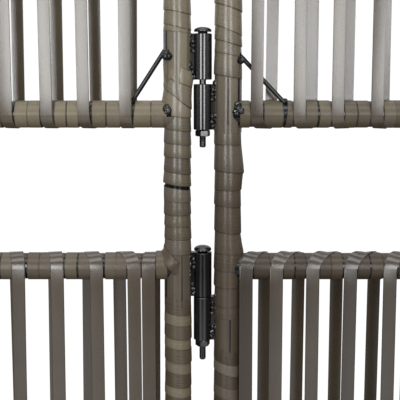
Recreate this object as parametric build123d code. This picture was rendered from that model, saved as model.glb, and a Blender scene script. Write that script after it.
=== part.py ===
"""Folding privacy screen: three steel-tube panels wound with flat plastic strip, on bolted barrel hinges.

Millimetres, +Z up. Panels a and b stand in line along X and panel c is folded back, so the screen
stands by itself. The origin is the middle of the footprint, on the floor.
"""
import os
from math import cos, hypot, radians, sin

from build123d import *

# The whole screen
HEIGHT = 1700.0
PANEL_WIDTH = 376.0  # between the two post axes of a panel
POST_TO_HINGE = 22.0  # from a post's axis to the hinge axis beside it
FOLD_AT_REST = 60.0  # degrees panel c is turned back from panel b's line

# Tube frame
TUBE_R = 11.0
TUBE_WALL = 1.2
BOTTOM_RAIL = 90.0
TOP_RAIL = 1668.0
WINDOW = 135.0  # between the axes of the two rails that frame a window

# Wound strip
WRAP_R = 12.0  # outside of a post or rail with its strip on
STRIP_WIDTH = 11.0
STRIP_THICKNESS = 1.2
STRIP_FACE = 12.4  # outer face of a run, from the panel's middle plane

# Front and rear runs of a section, from the left post's axis. Wound by hand, they differ a little.
EVEN_RUNS = ([24.0 + 34.0 * i for i in range(10)], [34.0 + 34.0 * i for i in range(10)])
OUTER_RUNS = {
    "panel_a": ([24, 58, 92, 126, 160, 194, 230, 264, 296, 331.5],
                [34, 68, 102, 136, 170, 202, 236, 270.5, 303.5, 335]),
    "panel_b": ([24, 60.5, 93, 127, 160, 194, 228, 262, 296, 330],
                [39, 74.5, 106.5, 138.5, 171, 204, 238, 272, 306, 340]),
    "panel_c": EVEN_RUNS,
}
MIDDLE_RUNS = {
    "panel_a": ([34, 68, 102, 136, 170, 203, 237, 271, 305, 338, 350.5],
                [44, 78, 112, 146, 180, 194, 228.5, 263, 294, 322, 353]),
    "panel_b": ([16, 42, 74.5, 107, 141.5, 175, 209, 243, 277, 311, 345],
                [34, 64.5, 99, 133, 166, 200, 234, 267, 301, 335, 352]),
    "panel_c": EVEN_RUNS,
}

# Corner braces: (height on the post above the rail's axis, distance along the rail from the post)
BRACE_R = 2.0
BRACE_Y = -4.5  # a little in front of the tubes' axes
LEFT_BRACE = (50.0, 49.0)
RIGHT_BRACE = (55.0, 40.0)

# Plastic caps on the post ends
CAP_R = 12.5
CAP_END = 4.0
FOOT_CAP_HEIGHT = 26.0
TOP_CAP_HEIGHT = 16.0

# Barrel hinges with M6 carriage bolts
HEAD_HINGE_OFFSET = 28.0  # from the rail above a window up to the split between two barrels
SILL_HINGE_OFFSET = 27.0  # from the rail below a window down to the split
BARREL_R = 8.0
BARREL_BORE_R = 3.08
BARREL_LENGTH = 39.5
WEB_THICKNESS = 6.0
UPPER_GAP = 3.8  # split of the hinge above a window
LOWER_GAP = 0.6  # split of the hinge below a window
BOLT_R = 3.0
BOLT_LENGTH = 100.0
HEAD_R = 7.7
HEAD_RIM = 0.8
HEAD_HEIGHT = 4.2
NECK_SIDE = 6.0
NECK_HEIGHT = 4.0
NECK_SHOWING = 1.6  # part of the square neck that stands above the barrel
NECK_SEAT_R = 4.35
NUT_ACROSS_FLATS = 11.5
NUT_HEIGHT = 5.4
NUT_GAP = 0.4
CUT_CLEARANCE = 0.1


def rail_levels():
    """Heights of the six rail axes, from the bottom up."""
    section = (TOP_RAIL - BOTTOM_RAIL - 2 * WINDOW) / 3
    levels = [BOTTOM_RAIL]
    for _ in range(2):
        levels.append(levels[-1] + section)
        levels.append(levels[-1] + WINDOW)
    return levels + [TOP_RAIL]


def rod(start, end, radius):
    """A solid round bar between two points."""
    line = Vector(*end) - Vector(*start)
    return Solid.make_cylinder(radius, line.length, Plane(origin=start, z_dir=line))


def pipe(start, end, outer, inner):
    return rod(start, end, outer) - rod(start, end, inner)


def post_core(x, radius=TUBE_R):
    return rod((x, 0, 0), (x, 0, HEIGHT), radius)


def rail_core(z, radius=TUBE_R):
    return rod((0, 0, z), (PANEL_WIDTH, 0, z), radius)


def block(x0, x1, y0, y1, z0, z1):
    return Solid.make_box(x1 - x0, y1 - y0, z1 - z0, Plane(origin=(x0, y0, z0)))


# One panel. Its left post stands at x = 0 and its right post at x = PANEL_WIDTH.


def post(x):
    return pipe((x, 0, CAP_END), (x, 0, HEIGHT - CAP_END), TUBE_R, TUBE_R - TUBE_WALL)


def rail(z):
    """A rail, with its ends shaped to the posts it is welded to."""
    tube = rail_core(z) - rail_core(z, TUBE_R - TUBE_WALL)
    return tube - post_core(0) - post_core(PANEL_WIDTH)


def brace_bars(z, radius):
    """The two corner bars above the rail at height z, before their ends are shaped."""
    bars = []
    for post_x, inward, (up, along) in ((0, 1, LEFT_BRACE), (PANEL_WIDTH, -1, RIGHT_BRACE)):
        top = (post_x + inward * TUBE_R, up)
        foot = (post_x + inward * along, TUBE_R)
        run, fall = top[0] - foot[0], top[1] - foot[1]
        past = TUBE_R * 0.5 / hypot(run, fall)
        start = (top[0] + run * past, BRACE_Y, z + top[1] + fall * past)
        end = (foot[0] - run * past, BRACE_Y, z + foot[1] - fall * past)
        bars.append(rod(start, end, radius))
    return bars


def braces():
    """A bar across both lower corners of each wound section."""
    bars = []
    for z in rail_levels()[0::2]:
        for bar in brace_bars(z, BRACE_R):
            bars.append(bar - post_core(0) - post_core(PANEL_WIDTH) - rail_core(z))
    return bars


def hinge_levels():
    """(height of the split, size of the split) of each hinge on a joint, from the bottom up."""
    levels = rail_levels()
    found = []
    for sill, head in ((levels[1], levels[2]), (levels[3], levels[4])):
        found.append((sill - SILL_HINGE_OFFSET, LOWER_GAP))
        found.append((head + HEAD_HINGE_OFFSET, UPPER_GAP))
    return found


def post_wrap(x, side):
    """The strip wound round a post, open where rails, braces and hinge webs meet the tube."""
    wrap = pipe((x, 0, FOOT_CAP_HEIGHT), (x, 0, HEIGHT - TOP_CAP_HEIGHT), WRAP_R, TUBE_R)
    for z in rail_levels():
        wrap -= rail_core(z)
    for z in rail_levels()[0::2]:
        for bar in brace_bars(z, BRACE_R + CUT_CLEARANCE):
            wrap -= bar
    half = WEB_THICKNESS / 2 + CUT_CLEARANCE
    for split, gap in hinge_levels():
        # The right post of a panel carries the upper barrels and the left post the lower ones.
        low = split + gap / 2 if side > 0 else split - gap / 2 - BARREL_LENGTH
        slot = sorted((x, x + side * POST_TO_HINGE))
        wrap -= block(*slot, -half, half, low, low + BARREL_LENGTH)
    return wrap


def infill(low, high, fronts, rears):
    """One section: the turns on its two rails and the front and rear runs between them."""
    turns = [rail_core(z, WRAP_R) - rail_core(z) for z in (low, high)]
    runs = []
    for places_along, y in ((fronts, -STRIP_FACE), (rears, STRIP_FACE - STRIP_THICKNESS)):
        for x in places_along:
            half = STRIP_WIDTH / 2
            runs.append(block(x - half, x + half, y, y + STRIP_THICKNESS, low, high))
    section = turns[0].fuse(turns[1], *runs)
    for x in (0, PANEL_WIDTH):
        section -= post_core(x, WRAP_R + CUT_CLEARANCE)
    for bar in brace_bars(low, BRACE_R + CUT_CLEARANCE):
        section -= bar
    return section


def foot_cap(x):
    cup = rod((x, 0, 0), (x, 0, FOOT_CAP_HEIGHT), CAP_R)
    cup -= rod((x, 0, CAP_END), (x, 0, FOOT_CAP_HEIGHT), TUBE_R)
    return chamfer(cup.edges().group_by(Axis.Z)[0], 0.8)


def top_cap(x):
    cup = rod((x, 0, HEIGHT - TOP_CAP_HEIGHT), (x, 0, HEIGHT), CAP_R)
    cup -= rod((x, 0, HEIGHT - TOP_CAP_HEIGHT), (x, 0, HEIGHT - CAP_END), TUBE_R)
    return fillet(cup.edges().group_by(Axis.Z)[-1], 2.5)


def panel_parts(panel):
    """Every piece of one panel but its hinges, by name."""
    z = rail_levels()
    names = ("bottom_rail", "lower_window_sill", "lower_window_head",
             "upper_window_sill", "upper_window_head", "top_rail")
    parts = {name: rail(level) for name, level in zip(names, z)}
    parts["left_post"], parts["right_post"] = post(0), post(PANEL_WIDTH)
    parts["post_wraps"] = [post_wrap(0, -1), post_wrap(PANEL_WIDTH, 1)]
    parts["lower_infill"] = infill(z[0], z[1], *OUTER_RUNS[panel])
    parts["middle_infill"] = infill(z[2], z[3], *MIDDLE_RUNS[panel])
    parts["upper_infill"] = infill(z[4], z[5], *OUTER_RUNS[panel])
    parts["corner_braces"] = braces()
    parts["foot_caps"] = [foot_cap(0), foot_cap(PANEL_WIDTH)]
    parts["top_caps"] = [top_cap(0), top_cap(PANEL_WIDTH)]
    return parts


# One joint line. Its axis stands at x = 0, y = 0.


def barrel(low, side, seat):
    """A barrel and the web that joins it to the post on its side (-1 left, 1 right)."""
    high = low + BARREL_LENGTH
    body = rod((0, 0, low), (0, 0, high), BARREL_R)
    body = chamfer(body.edges().filter_by(GeomType.CIRCLE), 0.5)
    near, far = sorted((side * (BARREL_R - 2), side * (POST_TO_HINGE - 2)))
    web = block(near, far, -WEB_THICKNESS / 2, WEB_THICKNESS / 2, low, high)
    web -= post_core(side * POST_TO_HINGE)
    body = body.fuse(web) - rod((0, 0, low), (0, 0, high), BARREL_BORE_R)
    if seat:
        body -= rod((0, 0, high - NECK_HEIGHT + NECK_SHOWING - 0.1), (0, 0, high), NECK_SEAT_R)
    return body


def carriage_bolt(underside):
    """A bolt whose head's underside is at that height: domed head, square neck, round shank."""
    rim = underside + HEAD_RIM
    shoulder = HEAD_HEIGHT - HEAD_RIM
    radius = (HEAD_R**2 + shoulder**2) / (2 * shoulder)
    dome = Solid.make_sphere(radius, Plane(origin=(0, 0, underside + HEAD_HEIGHT - radius)))
    dome &= rod((0, 0, rim), (0, 0, rim + HEAD_HEIGHT), HEAD_R)
    head = rod((0, 0, underside), (0, 0, rim), HEAD_R)
    neck = Solid.make_box(NECK_SIDE, NECK_SIDE, NECK_HEIGHT)
    neck = neck.moved(Location((-NECK_SIDE / 2, -NECK_SIDE / 2, 0)))
    neck = neck.moved(Location((0, 0, underside - NECK_HEIGHT), (0, 0, 45)))
    shank = rod((0, 0, underside - BOLT_LENGTH), (0, 0, underside), BOLT_R)
    return head.fuse(dome, neck, shank)


def nut(top):
    flat = RegularPolygon(NUT_ACROSS_FLATS / 2, 6, major_radius=False, rotation=11)
    blank = extrude(Plane.XY.offset(top - NUT_HEIGHT) * flat, NUT_HEIGHT)
    return blank - rod((0, 0, top - NUT_HEIGHT), (0, 0, top), BOLT_R)


def joint_parts():
    parts = {"upper_barrels": [], "lower_barrels": [], "bolts": [], "nuts": []}
    for split, gap in hinge_levels():
        upper, lower = split + gap / 2, split - gap / 2 - BARREL_LENGTH
        parts["upper_barrels"].append(barrel(upper, -1, True))
        parts["lower_barrels"].append(barrel(lower, 1, False))
        parts["bolts"].append(carriage_bolt(upper + BARREL_LENGTH + NECK_SHOWING))
        parts["nuts"].append(nut(lower - NUT_GAP))
    return parts


# The screen


def places():
    """Where each panel's left post and each joint's axis goes, with the origin under the middle."""
    pitch = PANEL_WIDTH + 2 * POST_TO_HINGE
    far = PANEL_WIDTH + POST_TO_HINGE
    turn = radians(FOLD_AT_REST)
    x_low, x_high = -far - CAP_R, pitch + far * cos(turn) + CAP_R
    y_low, y_high = -CAP_R, far * sin(turn) + CAP_R
    shift = Location((-(x_low + x_high) / 2, -(y_low + y_high) / 2, 0))
    second = shift * Location((pitch, 0, 0))
    return {
        "panel_a": shift * Location((-far, 0, 0)),
        "panel_b": shift * Location((POST_TO_HINGE, 0, 0)),
        "panel_c": second * Location((0, 0, 0), (0, 0, FOLD_AT_REST)) * Location((POST_TO_HINGE, 0, 0)),
        "left_joint": shift,
        "right_joint": second,
    }


def solids(shape):
    pieces = shape if isinstance(shape, list) else [shape]
    return [solid for piece in pieces for solid in piece.solids()]


def barrels_follow_their_post(name, place):
    """The right joint's lower barrels are on panel c, so their webs turn with it."""
    if name == "right_joint_lower_barrels":
        return place * Location((0, 0, 0), (0, 0, FOLD_AT_REST))
    return place


def main():
    os.makedirs("parts", exist_ok=True)
    for group, place in places().items():
        pieces = panel_parts(group) if group.startswith("panel") else joint_parts()
        for part, shape in pieces.items():
            name = f"{group}_{part}"
            where = barrels_follow_their_post(name, place)
            moved = [solid.moved(where) for solid in solids(shape)]
            whole = moved[0] if len(moved) == 1 else Compound(moved)
            export_step(whole, f"parts/{name}.step")


main()
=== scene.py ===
"""Looks of the folding privacy screen: wound plastic strip, black painted steel and hinge hardware.

The screen's own sizes are in millimetres. A panel's frame has x from the left post's axis to the right
post, y to the back and z up, and a Place turns it into metres in the part's frame.
"""
from math import cos, pi, radians, sin

import bmesh
import bpy
import numpy as np
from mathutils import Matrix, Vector


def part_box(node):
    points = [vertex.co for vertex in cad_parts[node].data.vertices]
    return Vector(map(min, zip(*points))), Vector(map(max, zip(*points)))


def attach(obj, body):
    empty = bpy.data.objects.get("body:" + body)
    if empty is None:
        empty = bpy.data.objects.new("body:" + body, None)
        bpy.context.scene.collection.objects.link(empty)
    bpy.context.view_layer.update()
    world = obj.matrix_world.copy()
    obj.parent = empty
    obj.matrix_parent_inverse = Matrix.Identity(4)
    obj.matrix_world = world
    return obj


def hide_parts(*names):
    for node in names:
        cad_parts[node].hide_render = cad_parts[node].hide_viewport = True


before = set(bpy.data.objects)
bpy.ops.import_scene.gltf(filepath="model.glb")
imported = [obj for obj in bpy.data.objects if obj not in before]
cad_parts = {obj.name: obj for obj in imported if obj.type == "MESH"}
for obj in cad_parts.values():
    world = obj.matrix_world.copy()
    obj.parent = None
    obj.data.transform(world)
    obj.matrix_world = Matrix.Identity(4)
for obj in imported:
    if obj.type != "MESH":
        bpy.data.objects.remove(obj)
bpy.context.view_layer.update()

PANELS = ("panel_a", "panel_b", "panel_c")
JOINTS = ("left_joint", "right_joint")

RAILS = ("bottom_rail", "lower_window_sill", "lower_window_head",
         "upper_window_sill", "upper_window_head", "top_rail")
POST_SPACING = 376.0  # between the axes of a panel's posts
POSTS = ((0.0, 1), (POST_SPACING, -1))  # the axis of each post, and the way from it to the panel's inside

WRAP_R = 12.0  # outside of the strip on a post or a rail
STRIP_WIDTH = 11.0
STRIP_THICKNESS = 1.2
FOOT_CAP_TOP = 26.0
TOP_CAP_BOTTOM = 1684.0
WINDOW_STEP = 571.0  # from the upper window down to the lower one


# ---------------------------------------------------------------- frames and meshes

class Place:
    """A local frame: an origin on the floor and the direction of local x, in the part's frame."""

    def __init__(self, origin, along):
        self.origin = np.array([origin[0], origin[1], 0.0])
        u = np.array([along[0], along[1], 0.0])
        self.x = u / np.linalg.norm(u)
        self.y = np.array([-self.x[1], self.x[0], 0.0])

    def __call__(self, points):
        p = np.asarray(points, float) / 1000.0
        return self.origin + p[..., :1] * self.x + p[..., 1:2] * self.y + p[..., 2:3] * np.array([0, 0, 1.0])


def middle(node):
    low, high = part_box(node)
    return (np.array(low) + np.array(high)) / 2


def panel_place(panel):
    left, right = middle(panel + "_left_post"), middle(panel + "_right_post")
    return Place(left, right - left)


def joint_place(joint):
    """A joint's frame: its origin is on the hinge line and its x runs along panel_b."""
    toward = Place(middle("panel_b_left_post"), middle("panel_b_right_post") - middle("panel_b_left_post"))
    return Place(middle(joint + "_bolts"), toward.x)


def rail_height(panel, rail):
    return 1000.0 * middle(f"{panel}_{rail}")[2]


class Shell:
    """Grids of quads gathered into one mesh. Each point carries where it is on its strip, along it in
    metres and across it within -1 to 1, and the strip's tone."""

    def __init__(self):
        self.points, self.quads, self.strip, self.count = [], [], [], 0

    def grid(self, points, along=0.0, across=0.0, tone=0.0, ring=False):
        """points is (n along, m across, 3). ring joins the last column to the first."""
        points = np.asarray(points, float)
        n, m = points.shape[:2]
        index = self.count + np.arange(n * m).reshape(n, m)
        if ring:
            index = np.concatenate([index, index[:, :1]], axis=1)
        quads = np.stack([index[:-1, :-1], index[:-1, 1:], index[1:, 1:], index[1:, :-1]], axis=-1)
        self.quads.append(quads.reshape(-1, 4))
        self.points.append(points.reshape(-1, 3))
        strip = np.zeros((n, m, 3))
        strip[..., 0] = np.reshape(along, (-1, 1)) if np.ndim(along) == 1 else along
        strip[..., 1] = across
        strip[..., 2] = tone
        self.strip.append(strip.reshape(-1, 3))
        self.count += n * m

    def fade(self, upper, lower, top_light):
        """Shifts every tone: by upper and by the third value above the upper window, and by lower below it.
        The step from lower up to upper and the third value are painted light: the parts higher up are
        coloured lighter, as if more light fell on them.
        """
        for points, strip in zip(self.points, self.strip):
            z = points[:, 2]
            strip[:, 2] += upper + (lower - upper) * ease((1290 - z) / 230) + top_light * ease((z - 1190) / 120)

    def object(self, name, place, material, sharp=35.0):
        mesh = bpy.data.meshes.new(name)
        points = place(np.concatenate(self.points))
        quads = np.concatenate(self.quads)
        mesh.vertices.add(len(points))
        mesh.vertices.foreach_set("co", points.ravel())
        mesh.loops.add(quads.size)
        mesh.loops.foreach_set("vertex_index", quads.ravel().astype(np.int32))
        mesh.polygons.add(len(quads))
        mesh.polygons.foreach_set("loop_start", np.arange(0, quads.size, 4, dtype=np.int32))
        mesh.update(calc_edges=True)
        mesh.validate()
        layer = mesh.attributes.new("strip", "FLOAT_VECTOR", "POINT")
        layer.data.foreach_set("vector", np.concatenate(self.strip).astype(np.float32).ravel())
        mesh.shade_smooth()
        mesh.set_sharp_from_angle(angle=radians(sharp))
        mesh.materials.append(material)
        obj = bpy.data.objects.new(name, mesh)
        bpy.context.scene.collection.objects.link(obj)
        return obj


def ease(t):
    t = np.clip(t, 0.0, 1.0)
    return t * t * (3 - 2 * t)


# ---------------------------------------------------------------- wound strip

# Columns of a wound turn: their place between its lower (0) and upper (1) seam.
TURN_ACROSS = np.array([0.0, 0.0, 0.05, 0.5, 1.0])
TURN_STEP = 10.0  # degrees between two rows of a turn

# Added to "along" to mark how worn a strip is: on posts and on rails it is rubbed duller than on the runs.
POST_MARK, RAIL_MARK = 25.0, 60.0


class Winding:
    """Strip wound on a vertical post at x. Its radius changes at the bulges, which are
    (height, degrees from the front, height spread, angle spread, amount)."""

    def __init__(self, shell, x, rng, bulges=()):
        self.shell, self.x, self.rng, self.bulges = shell, x, rng, bulges

    def radius(self, angle, z, r):
        for at_z, at_angle, height, spread, amount in self.bulges:
            d = np.abs((angle - radians(at_angle) + pi) % (2 * pi) - pi)
            r = r + amount * np.exp(-((z - at_z) / height) ** 2 - (d / radians(spread)) ** 2)
        return r

    def turns(self, seams, starts, tones, ledge=0.5, gap=(0, 0.0)):
        """Turns between seams, from the top down. A seam is the (left, right) heights of an edge on the
        front, starts how many strips run side by side, ledge how far a turn sinks under the one above it,
        and gap (number of a seam, how far the turn above it stops short)."""
        count = len(seams)
        drop = sum(seams[0]) / 2 - sum(seams[min(starts, count - 1)]) / 2
        fall = sum(seams[-1 - min(starts, count - 1)]) / 2 - sum(seams[-1]) / 2

        def seam(j):
            if j < 0:
                return tuple(h + drop for h in seams[min(j + starts, count - 1)])
            if j >= count:
                return tuple(h - fall for h in seams[max(j - starts, 0)])
            return seams[j]

        def edge(j, turn):
            left, right = seam(j)
            front = (left + right) / 2 + (right - left) / 2 * np.sin(2 * pi * turn)
            t = (turn - 0.25) / 0.5
            behind_right = right + (seam(j + starts)[0] - right) * ease(t)
            t = (turn + 0.75) / 0.5
            before = seam(j - starts)[1]
            behind_left = before + (left - before) * ease(t)
            return np.where(turn > 0.25, behind_right, np.where(turn < -0.25, behind_left, front))

        turn = np.linspace(-0.5, 0.5, int(360 / TURN_STEP) + 1)
        angle = 2 * pi * turn
        for j in range(count - 1):
            high, low = edge(j, turn), edge(j + 1, turn)
            if j + 1 == gap[0]:
                low = low + gap[1]
            # Each turn lies a little looser or tighter, and more so on one side of the post.
            wave = self.rng.normal(0, 0.16, 3)
            lift = wave[0] + wave[1] * np.sin(angle + wave[2] * 20)
            low_r = WRAP_R + 0.05 + np.clip(lift, -0.3, 0.4)
            high_r = low_r - ledge
            radii = (low_r - 1.1, low_r - 0.12, low_r, (low_r + high_r) / 2 + 0.04, high_r - 0.05)
            columns = []
            for across, r in zip(TURN_ACROSS, radii):
                z = high + 0.5 if across == 1.0 else low + (high - low) * across
                r = self.radius(angle, z, r)
                columns.append(np.stack([self.x + r * np.sin(angle), -r * np.cos(angle), z], axis=-1))
            tone = tones[j % len(tones)] + self.rng.normal(0, 0.12)
            along = (angle * WRAP_R + self.rng.uniform(0, 4000)) / 1000 + POST_MARK
            self.shell.grid(np.stack(columns, axis=1), along, TURN_ACROSS * 2 - 1, tone)

    def lengthwise(self, low, high, strips):
        """Strips laid along the post: (angle from the front, width, tone) of each."""
        steps = max(3, int((high - low) / 6))
        z = np.linspace(low, high, steps)
        t = np.linspace(-1, 1, steps)
        across = np.array([-1, -1, -0.93, -0.4, 0.4, 0.93, 1, 1.0])
        rise = np.array([-1.2, -0.15, 0, 0.03, 0.03, 0, -0.15, -1.2])
        base = WRAP_R + 0.15
        for angle, width, tone in strips:
            a = radians(angle)
            sway = self.rng.normal(0, 0.25, 2)[0] * t[:, None]
            s = across * width / 2
            flat = np.stack([base * sin(a) + s * cos(a), s * sin(a) - base * cos(a)], axis=-1)
            r = np.linalg.norm(flat, axis=-1)
            flat *= ((WRAP_R - 0.45 + 0.45 * (r - WRAP_R) + rise) / r)[:, None]
            points = np.zeros((steps, len(s), 3))
            points[..., 0] = self.x + flat[:, 0] + sway * cos(a)
            points[..., 1] = flat[:, 1] + sway * sin(a)
            points[..., 2] = z[:, None]
            along = z / 1000 + self.rng.uniform(0, 4) + POST_MARK
            self.shell.grid(points[:, ::-1], along, across[::-1], tone)


def belt(shell, post, inward, rail, rng, tone, side=1, shift=0.0, tucked=False):
    """One turn laid diagonally over the joint of a post and a rail, hugging both.
    side 1 crosses the corner above the rail and -1 the corner below it."""
    across = np.array([-1, -1, -0.9, -0.3, 0.3, 0.9, 1, 1.0])
    rise = np.array([-1.0, 0.45, 0.7, 0.78, 0.78, 0.7, 0.45, -1.0]) - (0.35 if tucked else 0.0)
    direction = np.array([inward, 0.0, side]) / np.linalg.norm([inward, 0.0, side])
    normal = np.array([-direction[2], 0.0, direction[0]])
    centre = np.array([inward, 0.0, side]) * (2.0 + shift)
    turn = np.linspace(0, 2 * pi, 61)
    rays = np.cos(turn)[:, None] * direction + np.sin(turn)[:, None] * np.array([0, 1.0, 0])
    start = centre + normal * (across * STRIP_WIDTH / 2)[:, None]
    dive = -1.6 * ease((0.15 - np.cos(turn)) / 0.5)[:, None] if tucked else np.zeros((len(turn), 1))
    # Each ray starts outside and steps in until it is that far off the post and rail, which blend together.
    outside, step, blend = 45.0, 0.7, 6.0
    t = np.full((len(turn), len(across)), outside)
    for _ in range(60):
        p = start[None] + rays[:, None, :] * t[..., None]
        on_post = np.hypot(p[..., 0], p[..., 1]) - WRAP_R
        on_rail = np.maximum(np.hypot(p[..., 1], p[..., 2]) - WRAP_R, -p[..., 0] * inward)
        h = np.clip(0.5 + 0.5 * (on_rail - on_post) / blend, 0, 1)
        distance = on_rail + (on_post - on_rail) * h - blend * h * (1 - h)
        t -= step * (distance - rise[None] - dive)
    p = start[None] + rays[:, None, :] * t[..., None]
    if inward * side > 0:
        p, across = p[:, ::-1], across[::-1]
    shell.grid(p + np.array([post, 0, rail]), turn * 0.016 + rng.uniform(0, 4) + RAIL_MARK, across, tone)


def saddle(shell, post, inward, rail, rng):
    """A length of strip on the lower half of a rail, where it runs in under the post's turns."""
    angle = np.radians(np.linspace(8, 172, 25))
    across = np.array([-1, -0.9, 0.0, 0.9, 1.0])
    x = post + inward * (7.5 + across * 5.0)
    r = WRAP_R + np.array([-0.4, 0.05, 0.15, 0.05, -0.4])
    points = np.zeros((len(angle), len(across), 3))
    points[..., 0] = x
    points[..., 1] = -r * np.cos(angle)[:, None]
    points[..., 2] = rail - r * np.sin(angle)[:, None]
    along = angle * WRAP_R / 1000 + rng.uniform(0, 4) + RAIL_MARK
    shell.grid(points[:, ::-1] if inward > 0 else points, along, across, 0.2)


def even_seams(high, low, pitch, drop, rng, jitter=0.5):
    """Seams from high down to low at about that pitch, each falling by drop from left to right."""
    count = max(1, round((high - low) / pitch))
    heights = np.linspace(high, low, count + 1)
    heights[1:-1] += rng.normal(0, jitter, count - 1)
    slopes = np.full(count + 1, drop) + rng.normal(0, jitter, count + 1)
    return [(h + s / 2, h - s / 2) for h, s in zip(heights, slopes)]


def banded_seams(high, low, light, dark, drop, rng):
    """Seams of a light and a dark strip wound side by side."""
    seams, z, i = [], high, 0
    while z > low:
        seams.append((z + drop / 2 + rng.normal(0, 0.4), z - drop / 2 + rng.normal(0, 0.4)))
        z -= (dark, light)[i % 2]
        i += 1
    seams.append((low, low))
    return seams


def moved(seams, shift):
    return [(left + shift, right + shift) for left, right in seams]


# Tones of the turns, in turn, where one strip is wound and where a dark and a light one are.
PLAIN = (0.0, 0.12, -0.08, 0.05)
BANDS = (-0.2, 0.95)
# Heights of the light and the dark strip, and the fall of their seams from left to right.
RIGHT_BANDS = (9, 13, 3.6)
LEFT_BANDS = (10, 12, 6)
LAST_TURN_BOTTOM = {"right": 1068.0, "left": 1022.0}  # where the work by the upper window ends, on each post


def right_post_winding(w):
    """A right post: its hinge side is its right side. The two windows repeat the same work."""
    top = TOP_CAP_BOTTOM
    for shift in (0.0, -WINDOW_STEP):
        if shift:
            seams = moved([(1331, 1327)], shift)
            bands = banded_seams(top, 1333 + shift, *RIGHT_BANDS, w.rng)
            w.turns(bands[:-1] + seams, 2, BANDS, ledge=0.25)
        else:
            seams = even_seams(top, 1333, 11.4, 5, w.rng)
        w.turns(seams + moved(((1321.5, 1317.0), (1309.5, 1303.5), (1303.5, 1301.5)), shift), 1, PLAIN)
        w.lengthwise(1250 + shift, 1306 + shift,
                     ((-118, 11, -0.1), (-23, 10, -0.1), (23, 11, 0.3), (62, 8, 0.0), (150, 11, 0)))
        seams = moved(((1282.5, 1267.5), (1265, 1255), (1256, 1236), (1231, 1229), (1220, 1216.5),
                       (1207.5, 1205), (1195.5, 1193.5), (1183, 1179), (1169, 1165.5), (1156.5, 1155),
                       (1144.5, 1144), (1134.5, 1133.5), (1123, 1122), (1110, 1109)), shift)
        # The third turn's 0.9 is a painted highlight: that turn is coloured light to show the bright patch
        # beside the rail's weld.
        tones = (0.6, 0.35, 0.9, 0.05, 0.1, 0.2, 0.0, 0.1, 0.25, -0.1, 0.15, 0.05, 0.2)
        w.turns(seams, 1, tones, gap=(8, 3.4))
        w.lengthwise(1062 + shift, 1114 + shift, ((-150, 11, 0), (-104, 10, -0.1), (-36, 8, 0.0),
                                                  (-2, 9, 0.0), (44, 10.5, 0.05), (84, 7, -0.1)))
        top = LAST_TURN_BOTTOM["right"] + shift
    w.turns(banded_seams(top, FOOT_CAP_TOP, *RIGHT_BANDS, w.rng), 2, BANDS, ledge=0.25)


def left_post_winding(w):
    """A left post: its hinge side is its left side. The two windows repeat the same work."""
    top = TOP_CAP_BOTTOM
    for shift in (0.0, -WINDOW_STEP):
        last = moved([(1327, 1319.5)], shift)
        if shift:
            bands = banded_seams(top, 1343 + shift, *LEFT_BANDS, w.rng)[:-1]
            w.turns(bands + last, 2, BANDS, ledge=0.25)
        else:
            w.turns(even_seams(top, 1342, 11.8, 9, w.rng) + last, 2, PLAIN)
        seams = moved(((1308.5, 1299), (1296.5, 1290), (1285.5, 1281), (1266.5, 1262)), shift)
        w.turns(last + seams, 1, PLAIN)
        w.lengthwise(1216 + shift, 1269 + shift,
                     ((-62, 8, -0.05), (-28, 11, 0.0), (22, 10, 0.3), (118, 11, 0), (165, 11, 0)))
        seams = moved(((1224, 1222), (1206, 1205), (1183.5, 1180.5), (1166, 1166), (1153, 1150.5),
                       (1129.5, 1127), (1110, 1109), (1095, 1094), (1080, 1079), (1062, 1062),
                       (1052, 1051)), shift)
        w.turns(seams, 1, PLAIN, ledge=0.45)
        w.lengthwise(1016 + shift, 1056 + shift, ((-62, 10, -0.1), (-17.5, 10.5, 0.0), (37.5, 11, 0.05),
                                                  (84, 9, 0), (130, 11, 0), (172, 10, 0)))
        top = LAST_TURN_BOTTOM["left"] + shift
    w.turns(banded_seams(top, FOOT_CAP_TOP, *LEFT_BANDS, w.rng), 2, BANDS, ledge=0.25)


def plain_post_winding(w):
    """A post without a hinge."""
    bottom = LAST_TURN_BOTTOM["right"]
    w.turns(even_seams(TOP_CAP_BOTTOM, bottom, 11.4, 5, w.rng), 1, PLAIN)
    w.turns(banded_seams(bottom, FOOT_CAP_TOP, *RIGHT_BANDS, w.rng), 2, BANDS, ledge=0.25)


# ---------------------------------------------------------------- infill strip

# Outline of a run of strip: place across it, and height over its back as a share of its thickness.
RUN_ACROSS = np.array([-1, -1, -0.96, -0.88, 0.88, 0.96, 1, 1, 0.0])
RUN_RISE = np.array([0, 0.82, 0.97, 1.0, 1.0, 0.97, 0.82, 0, 0.0])


def ribbon(shell, centre, side, out, width, tone, rng):
    """A closed strip along a line of points, with unit vectors across it and out of its face."""
    s = RUN_ACROSS * width / 2
    points = (centre[:, None, :] + side[:, None, :] * s[None, :, None]
              + out[:, None, :] * (RUN_RISE * STRIP_THICKNESS)[None, :, None])
    step = np.linalg.norm(np.diff(centre, axis=0), axis=1)
    along = np.concatenate([[0], np.cumsum(step)]) / 1000 + rng.uniform(0, 4)
    shell.grid(points, along, RUN_ACROSS * 0.85, tone, ring=True)


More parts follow.
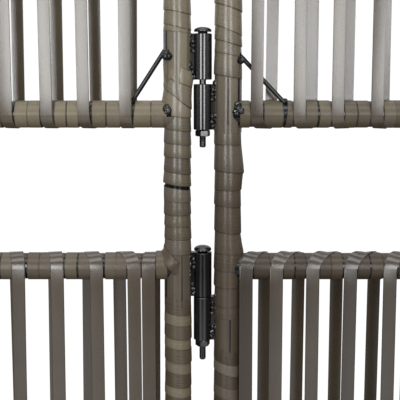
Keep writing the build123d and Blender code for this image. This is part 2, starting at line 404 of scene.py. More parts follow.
def run(shell, low, high, front, rear, width, tone, rng, twist, tilt):
    """One loop of the infill: down the front, under the lower rail, up the back and over the top.
    front and rear are (x at the top, x at the bottom), tone and tilt (of the front, of the rear)."""
    inner = WRAP_R - 0.75  # distance of the strip's back from the rails' axes
    bend = np.linspace(0, pi, 13)[1:-1]
    top_half = np.linspace(0.15 * pi, pi, 10)[:-1]
    z_front = np.linspace(high, low, 22)
    z_rear = z_front[::-1]
    t = (high - z_front) / (high - low)
    bow = rng.normal(0, 0.5) * np.sin(pi * t)
    x_front = front[0] + (front[1] - front[0]) * t + bow
    t_up = (high - z_rear) / (high - low)
    x_rear = rear[0] + (rear[1] - rear[0]) * t_up + rng.normal(0, 0.5) * np.sin(pi * t_up)
    parts = []

    def add(x, angle, rail):
        """Points round a rail: angle 0 is its front, 90 degrees its lower side, 180 its back."""
        out = np.stack([np.zeros_like(angle), -np.cos(angle), -np.sin(angle)], axis=-1)
        y, z = -inner * np.cos(angle), rail - inner * np.sin(angle)
        parts.append((np.stack([x, y, z], axis=-1), out))

    over = -top_half[::-1]
    add(rear[0] + (front[0] - rear[0]) * ease(1 + over / pi), over, high)
    slack = 0.5 * np.sin(pi * t) * rng.uniform(-1, 1)
    face = np.tile([0.0, -1.0, 0.0], (len(t), 1))
    parts.append((np.stack([x_front, -inner + slack, z_front], axis=-1), face))
    add(front[1] + (rear[1] - front[1]) * ease(bend / pi), bend, low)
    slack = 0.5 * np.sin(pi * t_up) * rng.uniform(-1, 1)
    parts.append((np.stack([x_rear, inner + slack, z_rear], axis=-1), -face))
    centre = np.concatenate([p for p, _ in parts])
    out = np.concatenate([o for _, o in parts])
    tangent = np.gradient(centre, axis=0)
    tangent /= np.linalg.norm(tangent, axis=1)[:, None]
    side = np.cross(out, tangent)
    side /= np.linalg.norm(side, axis=1)[:, None]
    sway = np.concatenate([np.full(len(over), tilt[0]), tilt[0] + np.sin(pi * t) * twist,
                           tilt[0] + (tilt[1] - tilt[0]) * ease(bend / pi),
                           tilt[1] - np.sin(pi * t_up) * twist])
    turned = side * np.cos(sway)[:, None] + out * np.sin(sway)[:, None]
    out = out * np.cos(sway)[:, None] - side * np.sin(sway)[:, None]
    share = np.concatenate([np.zeros(len(over) + len(t)), ease(bend / pi), np.ones(len(t))])
    ribbon(shell, centre, turned, out, width, (tone[0] + (tone[1] - tone[0]) * share)[:, None], rng)


def rail_turns(shell, z, edges, rng, tones, radius=WRAP_R - 0.02, lift=0.0):
    """Turns wound on a rail between consecutive x positions. lift raises the last ones, by the right post.
    An edge may lean: it is moved along the rail by that much at the rail's lower side."""
    angle = np.linspace(0, 2 * pi, 33)
    across = np.array([0.0, 0.0, 0.04, 0.12, 0.88, 0.96, 1.0, 1.0])
    rise = np.array([-1.0, -0.18, -0.03, 0.0, 0.0, -0.03, -0.18, -1.0])
    for i, (x0, x1, *leans) in enumerate(edges):
        slant = rng.normal(0.6, 0.4)
        raised = lift * ease((x1 - 352) / 15) * np.clip(-np.sin(angle), 0, 1)
        r = radius + rng.normal(0, 0.06) + raised
        shift = slant * np.cos(angle)
        lean0, lean1 = leans or (0.0, 0.0)
        columns = []
        for a, dr in zip(across, rise):
            x = x0 + (x1 - x0) * a + shift + (lean0 * (1 - a) + lean1 * a) * (1 + np.sin(angle)) / 2
            columns.append(np.stack([x, -(r + dr) * np.cos(angle), z - (r + dr) * np.sin(angle)], axis=-1))
        tone = tones[i % len(tones)] + rng.normal(0, 0.1)
        along = angle * radius / 1000 + rng.uniform(0, 4) + RAIL_MARK
        shell.grid(np.stack(columns, axis=1)[:, ::-1], along, (across * 2 - 1)[::-1], tone)


BARE_RAIL = ((46.5, 50.5), (337.5, 339.0))  # where a brace's foot holds the turns apart
RAIL_START, RAIL_END = 9.0, 367.0  # where the turns on a rail begin and end
RAIL_PITCH = 11.5
RAIL_TONES = (0.1, 0.3, -0.05)
RUN_GAP, TURN_GAP = 0.3, 0.15  # from a run's edge to the next turn, and from a turn's edge to its seam
LAST_LIFT = 1.5  # how far the last turns of a section's upper rail stand off it
UNDER_DEPTH, UNDER_TONE = 0.7, 0.1  # of the sunken turns that the runs lie on


def section(shell, low, high, fronts, rears, width, rng, front_tones, rear_tones, tilts, rail_tone):
    """A wound section: its runs, and the turns that fill its two rails between them."""
    for i, (front, rear) in enumerate(zip(fronts, rears)):
        tilt = [tilts[side][i % len(tilts[side])] + rng.normal(0, 0.012) for side in (0, 1)]
        tone = (front_tones[i % len(front_tones)], rear_tones[i % len(rear_tones)])
        run(shell, low, high, front, rear, width, tone, rng, rng.normal(0, 0.05), tilt)
    for z, end in ((high, 0), (low, 1)):
        edges, under, x = [], [], RAIL_START
        bare = BARE_RAIL if end else ()
        for mark in sorted(f[end] for f in fronts) + [None]:
            stop = RAIL_END if mark is None else mark - width / 2 - RUN_GAP
            stops = [x, stop]
            for a, b in bare:
                if x < a and b < stop:
                    stops = [x, a, b, stop]
            for first, last in zip(stops[::2], stops[1::2]):
                gap = last - first
                count = max(1, round(gap / RAIL_PITCH)) if gap > 2 else 0
                for n in range(count):
                    lean_first = -2.4 if n == 0 and first != x else 0.0
                    lean_last = 0.6 if n == count - 1 and last != stop else 0.0
                    edges.append((first + gap * n / count + TURN_GAP,
                                  first + gap * (n + 1) / count - TURN_GAP, lean_first, lean_last))
            if mark is not None:
                under.append((mark - width / 2 - RUN_GAP, mark + width / 2 - 0.5))
                x = mark + width / 2 + RUN_GAP
        tones = [tone + rail_tone for tone in RAIL_TONES]
        rail_turns(shell, z, edges, rng, tones, lift=0.0 if end else LAST_LIFT)
        rail_turns(shell, z, under, rng, (UNDER_TONE,), radius=WRAP_R - UNDER_DEPTH)


# ---------------------------------------------------------------- metal pieces

# A bolt: radius, height and rim of its head; half the width of its square neck, and the radius that its
# corners are cut to; radii of its shank and thread; where the thread starts and ends under the head.
HEAD_R, HEAD_HEIGHT, HEAD_RIM = 7.7, 4.2, 0.9
NECK_HALF, NECK_CORNER = 3.0, 4.15
SHANK_R, THREAD_ROOT, THREAD_DEPTH, THREAD_PITCH = 2.95, 2.65, 0.32, 1.0
THREAD_START, BOLT_END = 78.0, 100.0
HEAD_GAP = 1.6  # from the upper barrel to the head's underside
# A nut: half its width across flats; radii of its bore, its faces and its corners; how far it is turned,
# in degrees; where it starts and ends under the lower barrel.
NUT_HALF, NUT_BORE, NUT_FACE, NUT_CORNER, NUT_TURN = 5.75, 3.1, 5.6, 6.7, -19.0
NUT_TOP, NUT_BOTTOM = 0.4, 5.8


def around(sides):
    return np.linspace(0, 2 * pi, sides, endpoint=False)


def level_ring(r, u, z):
    """A level ring at height z: radius r, one for all or one for each, at the angles u."""
    return np.stack([r * np.cos(u), r * np.sin(u), np.full(len(u), float(z))], axis=-1)


def lump(shell, centre, size, rng, rows=9, columns=14):
    """A rough weld bead."""
    v = np.linspace(0, pi, rows)[:, None]
    u = around(columns)[None, :]
    d = np.stack([np.sin(v) * np.cos(u), np.sin(v) * np.sin(u), np.cos(v) * np.ones_like(u)], axis=-1)
    wobble = np.ones(d.shape[:2])
    for _ in range(5):
        k = rng.normal(0, 2.2, 3)
        wobble += 0.09 * np.cos(d @ k + rng.uniform(0, 6))
    shell.grid((np.asarray(centre) + d * np.asarray(size) * wobble[..., None])[:, ::-1], ring=True)


def bead(shell, start, end, size, rng):
    """A row of overlapping lumps along a joint, 1.6 sizes apart."""
    start, end = np.asarray(start, float), np.asarray(end, float)
    count = max(2, int(np.linalg.norm(end - start) / (size * 1.6)) + 1)
    for t in np.linspace(0, 1, count):
        s = size * rng.uniform(0.75, 1.2, 3)
        lump(shell, start + (end - start) * t + rng.normal(0, size * 0.15, 3), s, rng)


def bar(shell, start, end, radius, sides=20, steps=10):
    """A round bar."""
    start, end = np.asarray(start, float), np.asarray(end, float)
    line = (end - start) / np.linalg.norm(end - start)
    a = np.cross(line, [0, 1.0, 0])
    a /= np.linalg.norm(a)
    b = np.cross(line, a)
    u = around(sides)
    ring = radius * (np.cos(u)[:, None] * a + np.sin(u)[:, None] * b)
    t = np.linspace(0, 1, steps)[:, None, None]
    shell.grid(start + (end - start) * t + ring[None], ring=True)


def lathe(shell, profile, sides=32):
    """A turned shape from (radius, height) pairs."""
    u = around(sides)
    shell.grid(np.stack([level_ring(r, u, z) for r, z in profile]), ring=True)


def bolt(shell, underside):
    """A carriage bolt hung from its head's underside: dome, square neck, shank and rolled thread."""
    dome = [(HEAD_R * sin(a), underside + HEAD_RIM + (HEAD_HEIGHT - HEAD_RIM) * cos(a))
            for a in np.linspace(pi / 2, 0.1, 9)]
    lathe(shell, [(3.0, underside), (HEAD_R - 0.4, underside), (HEAD_R, underside + 0.35), *dome,
                  (0.01, underside + HEAD_HEIGHT)])
    u = around(32)
    square = np.minimum(NECK_HALF / np.maximum(np.abs(np.cos(u)), np.abs(np.sin(u))), NECK_CORNER)
    neck = ((underside - 4.0, 0.72), (underside - 3.4, 1.0), (underside, 1.0))
    shell.grid(np.stack([level_ring(square * k, u + radians(45), z) for z, k in neck]), ring=True)
    threaded, end = underside - THREAD_START, underside - BOLT_END
    lathe(shell, [(SHANK_R, threaded), (SHANK_R, underside - 3.5)], sides=24)
    z = np.arange(end + 0.6, threaded + 0.01, 0.2)
    u = around(24)
    phase = (z[:, None] / THREAD_PITCH + u[None, :] / (2 * pi)) % 1.0
    fade = ease((z - end) / 1.5)[:, None] * 0.5 + 0.5
    r = THREAD_ROOT * (0.88 + 0.12 * fade) + THREAD_DEPTH * (1 - np.abs(phase * 2 - 1)) * fade
    thread = [level_ring(row, u, height) for row, height in zip(r, z)]
    shell.grid(np.stack([level_ring(0.01, u, end), level_ring(2.2, u, end), *thread]), ring=True)


def nut(shell, top, bottom):
    """A hexagon nut with its corners turned off at both ends."""
    u = around(72)
    folded = (u - radians(NUT_TURN) + pi / 6) % (pi / 3) - pi / 6
    hexagon = NUT_HALF / np.cos(folded)
    levels = ((bottom, NUT_BORE), (bottom, NUT_FACE), (bottom + 0.6, NUT_CORNER),
              (top - 0.6, NUT_CORNER), (top, NUT_FACE), (top, NUT_BORE))
    shell.grid(np.stack([level_ring(np.minimum(hexagon, cut), u, z) for z, cut in levels]), ring=True)


# ---------------------------------------------------------------- materials

class Nodes:
    """The node tree of a material or a world, with short ways to add and join its nodes."""

    def __init__(self, owner, shader="Principled BSDF"):
        owner.use_nodes = True
        self.owner, self.tree = owner, owner.node_tree
        self.shader = self.tree.nodes[shader]

    def add(self, kind, **values):
        node = self.tree.nodes.new("ShaderNode" + kind)
        for key, value in values.items():
            setattr(node, key, value)
        return node

    def join(self, source, target):
        self.tree.links.new(source, target)

    def math(self, operation, a, b=None, clamp=False):
        node = self.add("Math", operation=operation, use_clamp=clamp)
        for socket, value in zip(node.inputs, (a, b)):
            if isinstance(value, (int, float)):
                socket.default_value = value
            elif value is not None:
                self.join(value, socket)
        return node.outputs[0]

    def line(self, value, factor, offset, clamp=False):
        """value * factor + offset."""
        return self.math("ADD", self.math("MULTIPLY", value, factor), offset, clamp)

    def over(self, value, start, factor):
        """How far value is over start, times factor, kept within 0 to 1."""
        return self.math("MULTIPLY", self.math("SUBTRACT", value, start, clamp=True), factor, clamp=True)

    def vary(self, level, noise, amount, clamp=False):
        """level moved up and down by a noise."""
        moved_by = self.math("MULTIPLY", self.math("SUBTRACT", noise, 0.5), amount)
        return self.math("ADD", level, moved_by, clamp)

    def point(self, *values):
        node = self.add("CombineXYZ")
        for value, socket in zip(values, node.inputs):
            self.join(value, socket)
        return node.outputs[0]

    def blend(self, factor, a, b, blend_type="MIX"):
        """Colours a and b mixed. Each value is a socket, a number or a colour."""
        node = self.add("Mix", data_type="RGBA", blend_type=blend_type)
        for socket, value in ((node.inputs[0], factor), (node.inputs[6], a), (node.inputs[7], b)):
            if isinstance(value, bpy.types.NodeSocket):
                self.join(value, socket)
            else:
                socket.default_value = value
        return node.outputs[2]

    def noise(self, scale, detail=3.0, rough=0.5, vector=None):
        node = self.add("TexNoise")
        node.inputs["Scale"].default_value = scale
        node.inputs["Detail"].default_value = detail
        node.inputs["Roughness"].default_value = rough
        if vector is None:
            vector = self.add("TexCoord").outputs["Object"]
        self.join(vector, node.inputs["Vector"])
        return node.outputs["Fac"]

    def ramp(self, factor, stops):
        node = self.add("ValToRGB")
        elements = node.color_ramp.elements
        while len(elements) < len(stops):
            elements.new(0.5)
        for element, (at, colour) in zip(elements, stops):
            element.position = at
            element.color = (*colour, 1)
        self.join(factor, node.inputs["Fac"])
        return node.outputs["Color"]

    def bump(self, height, distance, strength=1.0):
        node = self.add("Bump")
        node.inputs["Distance"].default_value = distance
        node.inputs["Strength"].default_value = strength
        self.join(height, node.inputs["Height"])
        self.join(node.outputs["Normal"], self.shader.inputs["Normal"])


def new_material(name):
    return Nodes(bpy.data.materials.new(name))


def strip_plastic():
    """Flat synthetic rattan: satin, finely ribbed lengthwise, with painted shade darkening the edges of the
    strips on the posts and rails, duller where worn.
    """
    n = new_material("strip_plastic")
    attribute = n.add("Attribute", attribute_name="strip", attribute_type="GEOMETRY")
    parts = n.add("SeparateXYZ")
    n.join(attribute.outputs["Vector"], parts.inputs[0])
    along, across, tone = parts.outputs
    stretched = n.point(n.math("MULTIPLY", along, 30.0), n.math("MULTIPLY", across, 5.0), tone)
    streaks = n.noise(1.6, 4.0, 0.6, stretched)
    blotches = n.noise(28.0, 3.0)
    fine = n.noise(800.0, 2.0)
    ribs = n.math("SINE", n.math("MULTIPLY", across, 77.0))
    level = n.vary(n.line(tone, 0.36, 0.34), streaks, 0.14)
    level = n.vary(level, blotches, 0.2)
    level = n.math("ADD", level, n.math("MULTIPLY", ribs, 0.045))
    level = n.vary(level, fine, 0.3, clamp=True)
    colour = n.ramp(level, ((0.0, (0.04, 0.029, 0.018)), (0.35, (0.078, 0.059, 0.037)),
                            (0.7, (0.128, 0.108, 0.08)), (1.0, (0.21, 0.18, 0.136))))
    # Every strip is a little warmer or cooler, and the lighter ones are warmer.
    batch = n.point(n.math("MULTIPLY", along, 2.0), n.math("MULTIPLY", tone, 5.0))
    lighter = n.math("MULTIPLY", n.math("SUBTRACT", level, 0.58), 0.5)
    hue = n.math("ADD", n.noise(1.6, 1.0, 0.5, batch), lighter)
    warmth = n.ramp(hue, ((0.35, (1.0, 0.975, 1.02)), (0.65, (1.02, 1.0, 0.88))))
    colour = n.blend(1.0, colour, warmth, "MULTIPLY")
    # Painted shade: the colour darkens towards the edges of the strips on the posts and rails, as if shade
    # lay in the seams between them; the runs' edges (across within 0.85) stay clear of it.
    seam_shade = n.over(n.math("ABSOLUTE", across), 0.87, 9.0)
    colour = n.blend(n.math("MULTIPLY", seam_shade, 0.88), colour, (0.03, 0.024, 0.018, 1))
    n.join(colour, n.shader.inputs["Base Color"])
    n.bump(n.math("ADD", n.math("ADD", ribs, streaks), n.math("MULTIPLY", fine, 3.0)), 0.000004, 1.0)
    worn = n.math("DIVIDE", along, RAIL_MARK + 4, clamp=True)
    rough = n.math("ADD", n.line(streaks, 0.08, 0.2), n.math("MULTIPLY", worn, 0.1))
    n.join(rough, n.shader.inputs["Roughness"])
    n.join(n.math("SUBTRACT", 1.0, n.math("MULTIPLY", worn, 0.65)), n.shader.inputs["Specular IOR Level"])
    return n.owner


def black_paint(name, rough, lumps, shine=0.6):
    """Black gloss coating on steel: slightly rippled, dusty in places."""
    n = new_material(name)
    patches = n.noise(60.0, 4.0, 0.6)
    dust = n.math("MULTIPLY", n.over(patches, 0.52, 2.0), 0.08)
    colour = n.blend(dust, (0.0022, 0.0021, 0.0022, 1), (0.03, 0.028, 0.025, 1))
    n.join(colour, n.shader.inputs["Base Color"])
    n.join(n.line(patches, 0.12, rough - 0.06), n.shader.inputs["Roughness"])
    height = n.math("ADD", n.noise(220.0, 2.0), n.math("MULTIPLY", n.noise(700.0, 2.0), 0.1))
    n.bump(height, lumps, 0.5)
    n.shader.inputs["Specular IOR Level"].default_value = shine
    return n.owner


def moulded_cap():
    """Black moulded plastic, fine grained and scuffed."""
    n = new_material("moulded_cap")
    scuff = n.noise(45.0, 4.0, 0.6)
    colour = n.ramp(scuff, ((0.3, (0.016, 0.016, 0.016)), (0.75, (0.045, 0.043, 0.04))))
    n.join(colour, n.shader.inputs["Base Color"])
    n.join(n.line(scuff, 0.25, 0.38), n.shader.inputs["Roughness"])
    n.bump(n.noise(1400.0, 3.0), 0.00015, 0.4)
    return n.owner


# ---------------------------------------------------------------- the screen

STRIP = strip_plastic()
PAINT = black_paint("frame_paint", rough=0.16, lumps=0.00002)
WELD = black_paint("weld_paint", rough=0.13, lumps=0.00001, shine=0.9)
HARDWARE = black_paint("hardware_black", rough=0.15, lumps=0.000002, shine=0.95)
CAP = moulded_cap()

for node_name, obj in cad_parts.items():
    material = CAP if node_name.endswith("_caps") else HARDWARE if node_name.startswith(JOINTS) else PAINT
    for material_slot in obj.material_slots:
        material_slot.material = material

# Strip runs: x of each front and each rear run, from the left post's axis.
EVEN_FRONTS, EVEN_REARS = range(24, 331, 34), range(34, 341, 34)
UPPER_FRONTS = {"panel_a": (24, 58, 92, 126, 160, 194, 230, 264, 296, 331.5),
                "panel_b": (24, 60.5, 93, 127, 160, 194, 228, 262, 296, 330), "panel_c": EVEN_FRONTS}
UPPER_REARS = {"panel_a": (34, 68, 102, 136, 170, 202, 236, 270.5, 303.5, 335),
               "panel_b": (39, 74.5, 106.5, 138.5, 171, 204, 238, 272, 306, 340), "panel_c": EVEN_REARS}
MIDDLE_FRONTS = {"panel_a": (34, 68, 102, 136, 170, 203, 237, 271, 305, 338, 350.5),
                 "panel_b": (16, 42, 74.5, 107, 141.5, 175, 209, 243, 277, 311, 345), "panel_c": EVEN_FRONTS}
MIDDLE_REARS = {"panel_a": (44, 78, 112, 146, 180, 194, 228.5, 263, 294, 322, 353),
                "panel_b": (34, 64.5, 99, 133, 166, 200, 234, 267, 301, 335, 352), "panel_c": EVEN_REARS}

# Tones: of a panel (above and below the upper window; the upper one is lighter partly as painted light), of
# its front and rear runs in turn, of its rails.
PANEL_TONE_AND_LIGHT = {"panel_a": (0.3, 0.1), "panel_b": (0.15, -0.5), "panel_c": (0.2, -0.2)}
RUN_TONES = {"panel_a": ((0.0, 0.25, 0.1, 0.2, 0.0, 0.2), (0.1, -0.1, 0.1, -0.4, 0.0)),
             "panel_b": ((-0.5, 0.45, 0.4, -0.05, 0.3, 0.2), (0.35, 0.35, 0.1, -0.1, 0.2)),
             "panel_c": ((0.1, 0.3, -0.05, 0.2), (0.0, 0.2, -0.1))}
# Partly the rails' tone, partly painted light: the upper section's rails are coloured lighter than the
# others, as if lit more.
UPPER_RAIL_TONE_AND_LIGHT = {"panel_a": 1.2, "panel_b": 0.5, "panel_c": 0.6}
RAIL_TONE = {"panel_a": 0.45, "panel_b": -0.05, "panel_c": 0.1}
# The second and third values are painted light over the upper window: they lift the tones of the posts and of
# the runs there.
POST_TONE, POST_TOP_LIGHT, RUN_TOP_LIGHT = 0.32, 0.9, 0.2
# The first value is painted shade: it darkens the middle section's fronts, which lie lower and catch less
# light.
MIDDLE_SHADE, MIDDLE_TILT = -0.45, 0.3  # added to the tones and multiplied with the tilts of the middle fronts
# Tilts of the front and rear runs in turn, in radians.
RUN_TILTS = {"panel_a": ((0.085, 0.08, 0.09), (-0.06, -0.07)),
             "panel_b": ((0.0, -0.07, -0.05, 0.03), (0.07, 0.05, 0.0)),
             "panel_c": ((0.0, 0.05, -0.04), (0.0, 0.04, -0.05))}

# Each section: name, lower and upper rail, where its runs are, and their width.
SECTIONS = (("upper", "upper_window_head", "top_rail", UPPER_FRONTS, UPPER_REARS, 10.5),
            ("middle", "lower_window_head", "upper_window_sill", MIDDLE_FRONTS, MIDDLE_REARS, 11.6),
            ("lower", "bottom_rail", "lower_window_sill", UPPER_FRONTS, UPPER_REARS, 11.0))

# Bulges by the hinges' welds and the rails' joints, as Winding takes them.
LEFT_BULGES = ((1184, 90, 11, 45, 2.2), (1184 - WINDOW_STEP, 90, 11, 45, 2.2), (1272, 0, 9, 120, 0.5),
               (1240, -80, 16, 50, 1.0), (1110, 90, 9, 40, 2.6), (1110 - WINDOW_STEP, 90, 9, 40, 2.6),
               (1104, 35, 8, 25, 0.8))
RIGHT_BULGES = ((1170, -90, 14, 50, 0.8), (1266, 80, 11, 42, 3.0), (1247, -85, 8, 45, 2.4),
                (1279, -90, 7, 40, 1.2), (1255, -90, 5, 40, -0.5), (1240, 60, 8, 50, 0.8))

BRACE_Y, BRACE_R = -4.5, 2.0
BRACES = ((50.0, 49.0), (55.0, 40.0))  # height over the rail and reach from the post, at the left and right


def leaning(xs, rng, lean=0.0):
    """(x at the top, x at the bottom) of runs at xs. lean is how much further right the bottom is."""
    return [(x - lean / 2 + rng.normal(0, 0.3), x + lean / 2 + rng.normal(0, 0.3)) for x in xs]


def wind_posts(panel, place, rng):
    """The strip wound on a panel's two posts and over their joints with the rails."""
    shell = Shell()
    outer_left, outer_right = panel == "panel_a", panel == "panel_c"
    (left_x, _), (right_x, _) = POSTS
    left = Winding(shell, left_x, rng, bulges=() if outer_left else LEFT_BULGES)
    right = Winding(shell, right_x, rng, bulges=() if outer_right else RIGHT_BULGES)
    plain_post_winding(left) if outer_left else left_post_winding(left)
    plain_post_winding(right) if outer_right else right_post_winding(right)
    for rail in RAILS:
        height = rail_height(panel, rail)
        for post, inward in POSTS:
            if rail.endswith("rail"):
                belt(shell, post, inward, height, rng, 0.1, side=1)
                belt(shell, post, inward, height, rng, -0.1, side=-1)
            elif inward < 0 and rail.endswith("head"):
                saddle(shell, post, inward, height, rng)
            elif inward < 0:
                belt(shell, post, inward, height, rng, -0.35, shift=1.0, tucked=True)
    shell.fade(*(tone + POST_TONE for tone in PANEL_TONE_AND_LIGHT[panel]), POST_TOP_LIGHT)
    winding = shell.object(panel + "_post_winding", place, STRIP)
    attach(winding, panel)
    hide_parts(panel + "_post_wraps")


def fill_sections(panel, place, rng):
    """A panel's three wound sections."""
    for name, low, high, fronts, rears, width in SECTIONS:
        shell = Shell()
        front_tones, rear_tones = RUN_TONES[panel]
        front_tilts, rear_tilts = RUN_TILTS[panel]
        if name == "middle":
            # The middle fronts are darkened as painted shade.
            front_tones = [tone + MIDDLE_SHADE for tone in front_tones]
            front_tilts = [tilt * MIDDLE_TILT for tilt in front_tilts]
        rail_tone = (UPPER_RAIL_TONE_AND_LIGHT if name == "upper" else RAIL_TONE)[panel]
        section(shell, rail_height(panel, low), rail_height(panel, high), leaning(fronts[panel], rng),
                leaning(rears[panel], rng, -1.0), width, rng, front_tones, rear_tones,
                (front_tilts, rear_tilts), rail_tone)
        shell.fade(*PANEL_TONE_AND_LIGHT[panel], RUN_TOP_LIGHT)
        strips = shell.object(f"{panel}_{name}_strips", place, STRIP)
        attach(strips, panel)
        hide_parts(f"{panel}_{name}_infill")


def weld_braces(panel, place, rng):
    """The brace bars with their weld beads, and the beads where each section's lower rail meets the posts."""

    def lumps(shell, count, centre, spread, sizes):
        for _ in range(count):
            lump(shell, centre + rng.normal(0, 1.0, 3) * spread, rng.uniform(*sizes, 3), rng)

    bars, welds = Shell(), Shell()
    for low in ("bottom_rail", "lower_window_head", "upper_window_head"):
        rail = rail_height(panel, low)
        for (post, inward), (up, along) in zip(POSTS, BRACES):
            top = np.array([post + inward * 10.5, BRACE_Y, rail + up])
            foot = np.array([post + inward * along, BRACE_Y, rail + 9.5])
            bar(bars, top, foot, BRACE_R)
            knuckle = np.array([post + inward * 8.5, -9.3 if inward < 0 else -5.0, rail + up - 3.5])
            lumps(bars, 6, knuckle, (1.2, 0.5, 2.2), (2.8, 4.0))
            lumps(bars, 3, foot + (0, 0, 1.5), 0.8, (1.8, 2.8))
        for post, inward in POSTS:
            lumps(welds, 9, np.array([post + inward * 9.0, -9.0, rail + 4.0]), (1.6, 0.4, 2.6), (2.6, 4.0))
    braces = bars.object(panel + "_brace_bars", place, PAINT)
    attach(braces, panel)
    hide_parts(panel + "_corner_braces")
    spots = welds.object(panel + "_rail_welds", place, WELD)
    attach(spots, panel)


for number, panel_name in enumerate(PANELS):
    panel_rng = np.random.default_rng(100 + number)
    for make in (wind_posts, fill_sections, weld_braces):
        make(panel_name, panel_place(panel_name), panel_rng)


def solid_levels(node):
    """Heights (lowest, highest) of the separate solids of a CAD node, from the bottom up, in millimetres."""
    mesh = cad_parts[node].data
    z = np.sort(np.array([v.co.z for v in mesh.vertices])) * 1000
    # A barrel is shorter than 60 mm, and further than that from the next one.
    breaks = np.flatnonzero(np.diff(z) > 60)
    starts, ends = np.concatenate([[0], breaks + 1]), np.concatenate([breaks, [len(z) - 1]])
    return [(z[a], z[b]) for a, b in zip(starts, ends)]


def build_joint(joint, left_body, right_body, turned, seed):
    """A joint line's bolts, nuts and weld beads. turned is the direction of the right body's panel."""
    rng = np.random.default_rng(seed)
    place = joint_place(joint)
    bolts, nuts, upper, lower = Shell(), Shell(), Shell(), Shell()
    levels = zip(solid_levels(joint + "_upper_barrels"), solid_levels(joint + "_lower_barrels"))
    for (upper_low, upper_high), (lower_low, lower_high) in levels:
        bolt(bolts, upper_high + HEAD_GAP)
        nut(nuts, lower_low - NUT_TOP, lower_low - NUT_BOTTOM)
        for beads, side, low, high in ((upper, -1, upper_low, upper_high), (lower, 1, lower_low, lower_high)):
            for face in (-1, 1):
                for part in (0.2, 0.78):
                    at = low + (high - low) * (part + rng.uniform(-0.05, 0.05))
                    start, end = (side * 8.0, face * 3.2, at - 4), (side * 8.6, face * 2.8, at + 4)
                    bead(beads, start, end, 2.2, rng)
                    at = low + (high - low) * (part + rng.uniform(-0.12, 0.12))
                    start, end = (side * 11.8, face * 2.8, at - 6), (side * 11.8, face * 2.8, at + 6)
                    bead(beads, start, end, 2.6, rng)
    for shell, name, node, sharp in ((bolts, "carriage_bolts", "bolts", 30), (nuts, "hex_nuts", "nuts", 8)):
        piece = shell.object(f"{joint}_{name}", place, HARDWARE, sharp=sharp)
        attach(piece, left_body)
        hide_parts(f"{joint}_{node}")
    low_place = Place(place.origin, turned)
    for shell, name, body, where in ((upper, "upper_welds", left_body, place),
                                     (lower, "lower_welds", right_body, low_place)):
        piece = shell.object(f"{joint}_{name}", where, WELD, sharp=60)
        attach(piece, body)


build_joint("left_joint", "panel_a", "panel_b", panel_place("panel_b").x, 201)
build_joint("right_joint", "panel_b", "panel_c", panel_place("panel_c").x, 202)


# ---------------------------------------------------------------- stage, light and camera

HINGE = middle("left_joint_bolts")
AIM_HEIGHT = 1.2  # where the lights aim on the joint line, in metres
LIGHT_COLOUR = (0.97, 0.985, 1.0)
FLOOR_RADIUS, BACKDROP_RADIUS = 1.62, 14.0


def stage_material(name, colour, emission):
    n = new_material(name)
    tint = n.noise(3.0, 2.0)
    n.join(n.ramp(tint, ((0.3, [c * 0.98 for c in colour]), (0.7, colour))), n.shader.inputs["Base Color"])
    n.shader.inputs["Roughness"].default_value = 0.9
    n.shader.inputs["Specular IOR Level"].default_value = 0.1
    n.shader.inputs["Emission Color"].default_value = (1, 1, 1, 1)
    n.shader.inputs["Emission Strength"].default_value = emission
    return n.owner


def stage_mesh(name, material, create, **shape):
    mesh = bpy.data.meshes.new(name)
    bm = bmesh.new()
    create(bm, **shape)
    bm.to_mesh(mesh)
    bm.free()
    mesh.materials.append(material)
    obj = bpy.data.objects.new(name, mesh)
    bpy.context.scene.collection.objects.link(obj)
    return obj


floor = stage_mesh("floor", stage_material("floor", (0.8, 0.8, 0.79), 0.55),
                   bmesh.ops.create_circle, cap_ends=True, segments=128, radius=FLOOR_RADIUS)
dome = stage_mesh("backdrop", stage_material("backdrop", (0, 0, 0), 1.05),
                  bmesh.ops.create_icosphere, subdivisions=4, radius=BACKDROP_RADIUS)
for flag in ("visible_diffuse", "visible_glossy", "visible_transmission", "visible_volume_scatter",
             "visible_shadow"):
    setattr(dome, flag, False)
floor.visible_diffuse = floor.visible_glossy = False

bpy.context.scene.world = bpy.data.worlds.new("studio")
sky = Nodes(bpy.context.scene.world, "Background")
split = sky.add("SeparateXYZ")
sky.join(sky.add("TexCoord").outputs["Generated"], split.inputs[0])
right, back, up = split.outputs

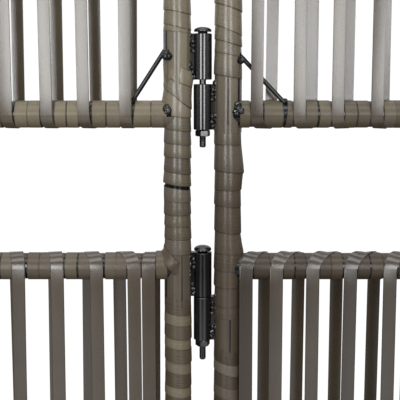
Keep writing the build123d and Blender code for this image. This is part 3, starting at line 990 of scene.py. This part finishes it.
# Dim all round and below, brighter over the horizon in front, on both sides and behind.
front = sky.line(back, -4.0, -3.0, clamp=True)
sides = sky.line(sky.math("ABSOLUTE", right), 2.0, -0.8, clamp=True)
rear = sky.line(back, 4.0, -2.4, clamp=True)
glow = sky.math("ADD", sky.math("MULTIPLY", front, 0.3), sky.math("MULTIPLY", sides, 0.5))
glow = sky.math("ADD", glow, sky.line(rear, 0.5, 0.14))
glow = sky.math("MULTIPLY", sky.line(up, 4.0, 0.75, clamp=True), glow)
sky.join(sky.math("ADD", glow, 0.07), sky.shader.inputs["Strength"])
sky.shader.inputs["Color"].default_value = (1.0, 0.995, 0.985, 1)


def panel_light(name, azimuth, low, high, width, distance, radiance):
    """A soft light facing the hinges: azimuth from the front, low and high elevations and width in
    degrees, distance in metres, and radiance."""
    target = Vector((HINGE[0], HINGE[1], AIM_HEIGHT))
    a, e = radians(azimuth), radians((low + high) / 2)
    direction = Vector((sin(a) * cos(e), -cos(a) * cos(e), sin(e)))
    light = bpy.data.lights.new(name, "AREA")
    light.shape = "RECTANGLE"
    light.size = 2 * distance * np.tan(radians(width / 2))
    light.size_y = 2 * distance * np.tan(radians((high - low) / 2))
    light.energy = radiance * pi * light.size * light.size_y
    light.color = LIGHT_COLOUR
    obj = bpy.data.objects.new(name, light)
    bpy.context.scene.collection.objects.link(obj)
    obj.location = target + direction * distance
    obj.rotation_euler = direction.to_track_quat("Z", "Y").to_euler()
    obj.visible_camera = False


for values in (("strip_left", -23, -5, 16, 15, 1.7, 8.2),
               ("strip_right", 20, -5, 16, 15, 1.7, 7.0),
               ("strip_left_low", -23, -36, -6, 14, 1.7, 0.5),
               ("strip_right_low", 20, -36, -6, 14, 1.7, 0.5),
               ("strip_top", 0, 17.5, 19, 26, 1.7, 9.0),
               ("front_low", 0, -70, -25, 80, 1.2, 0.42),
               ("front_high", 0, 45, 75, 70, 1.7, 2.4),
               ("overhead", 180, 55, 95, 60, 2.4, 1.5)):
    panel_light(*values)

# The camera looks a little down, and its frame is shifted down.
CAMERA_TILT = 5.5
camera_data = bpy.data.cameras.new("camera")
camera_data.lens = 62.1
camera_data.sensor_width = 36.0
camera_data.shift_y = -0.154
camera_data.clip_end = 50
camera = bpy.data.objects.new("camera", camera_data)
bpy.context.scene.collection.objects.link(camera)
camera.location = (HINGE[0] - 0.00235, HINGE[1] - 0.600, 1.2685)
camera.rotation_euler = (radians(90 - CAMERA_TILT), 0, 0)
bpy.context.scene.camera = camera
bpy.context.scene.view_settings.view_transform = "Standard"
bpy.context.scene.view_settings.look = "None"
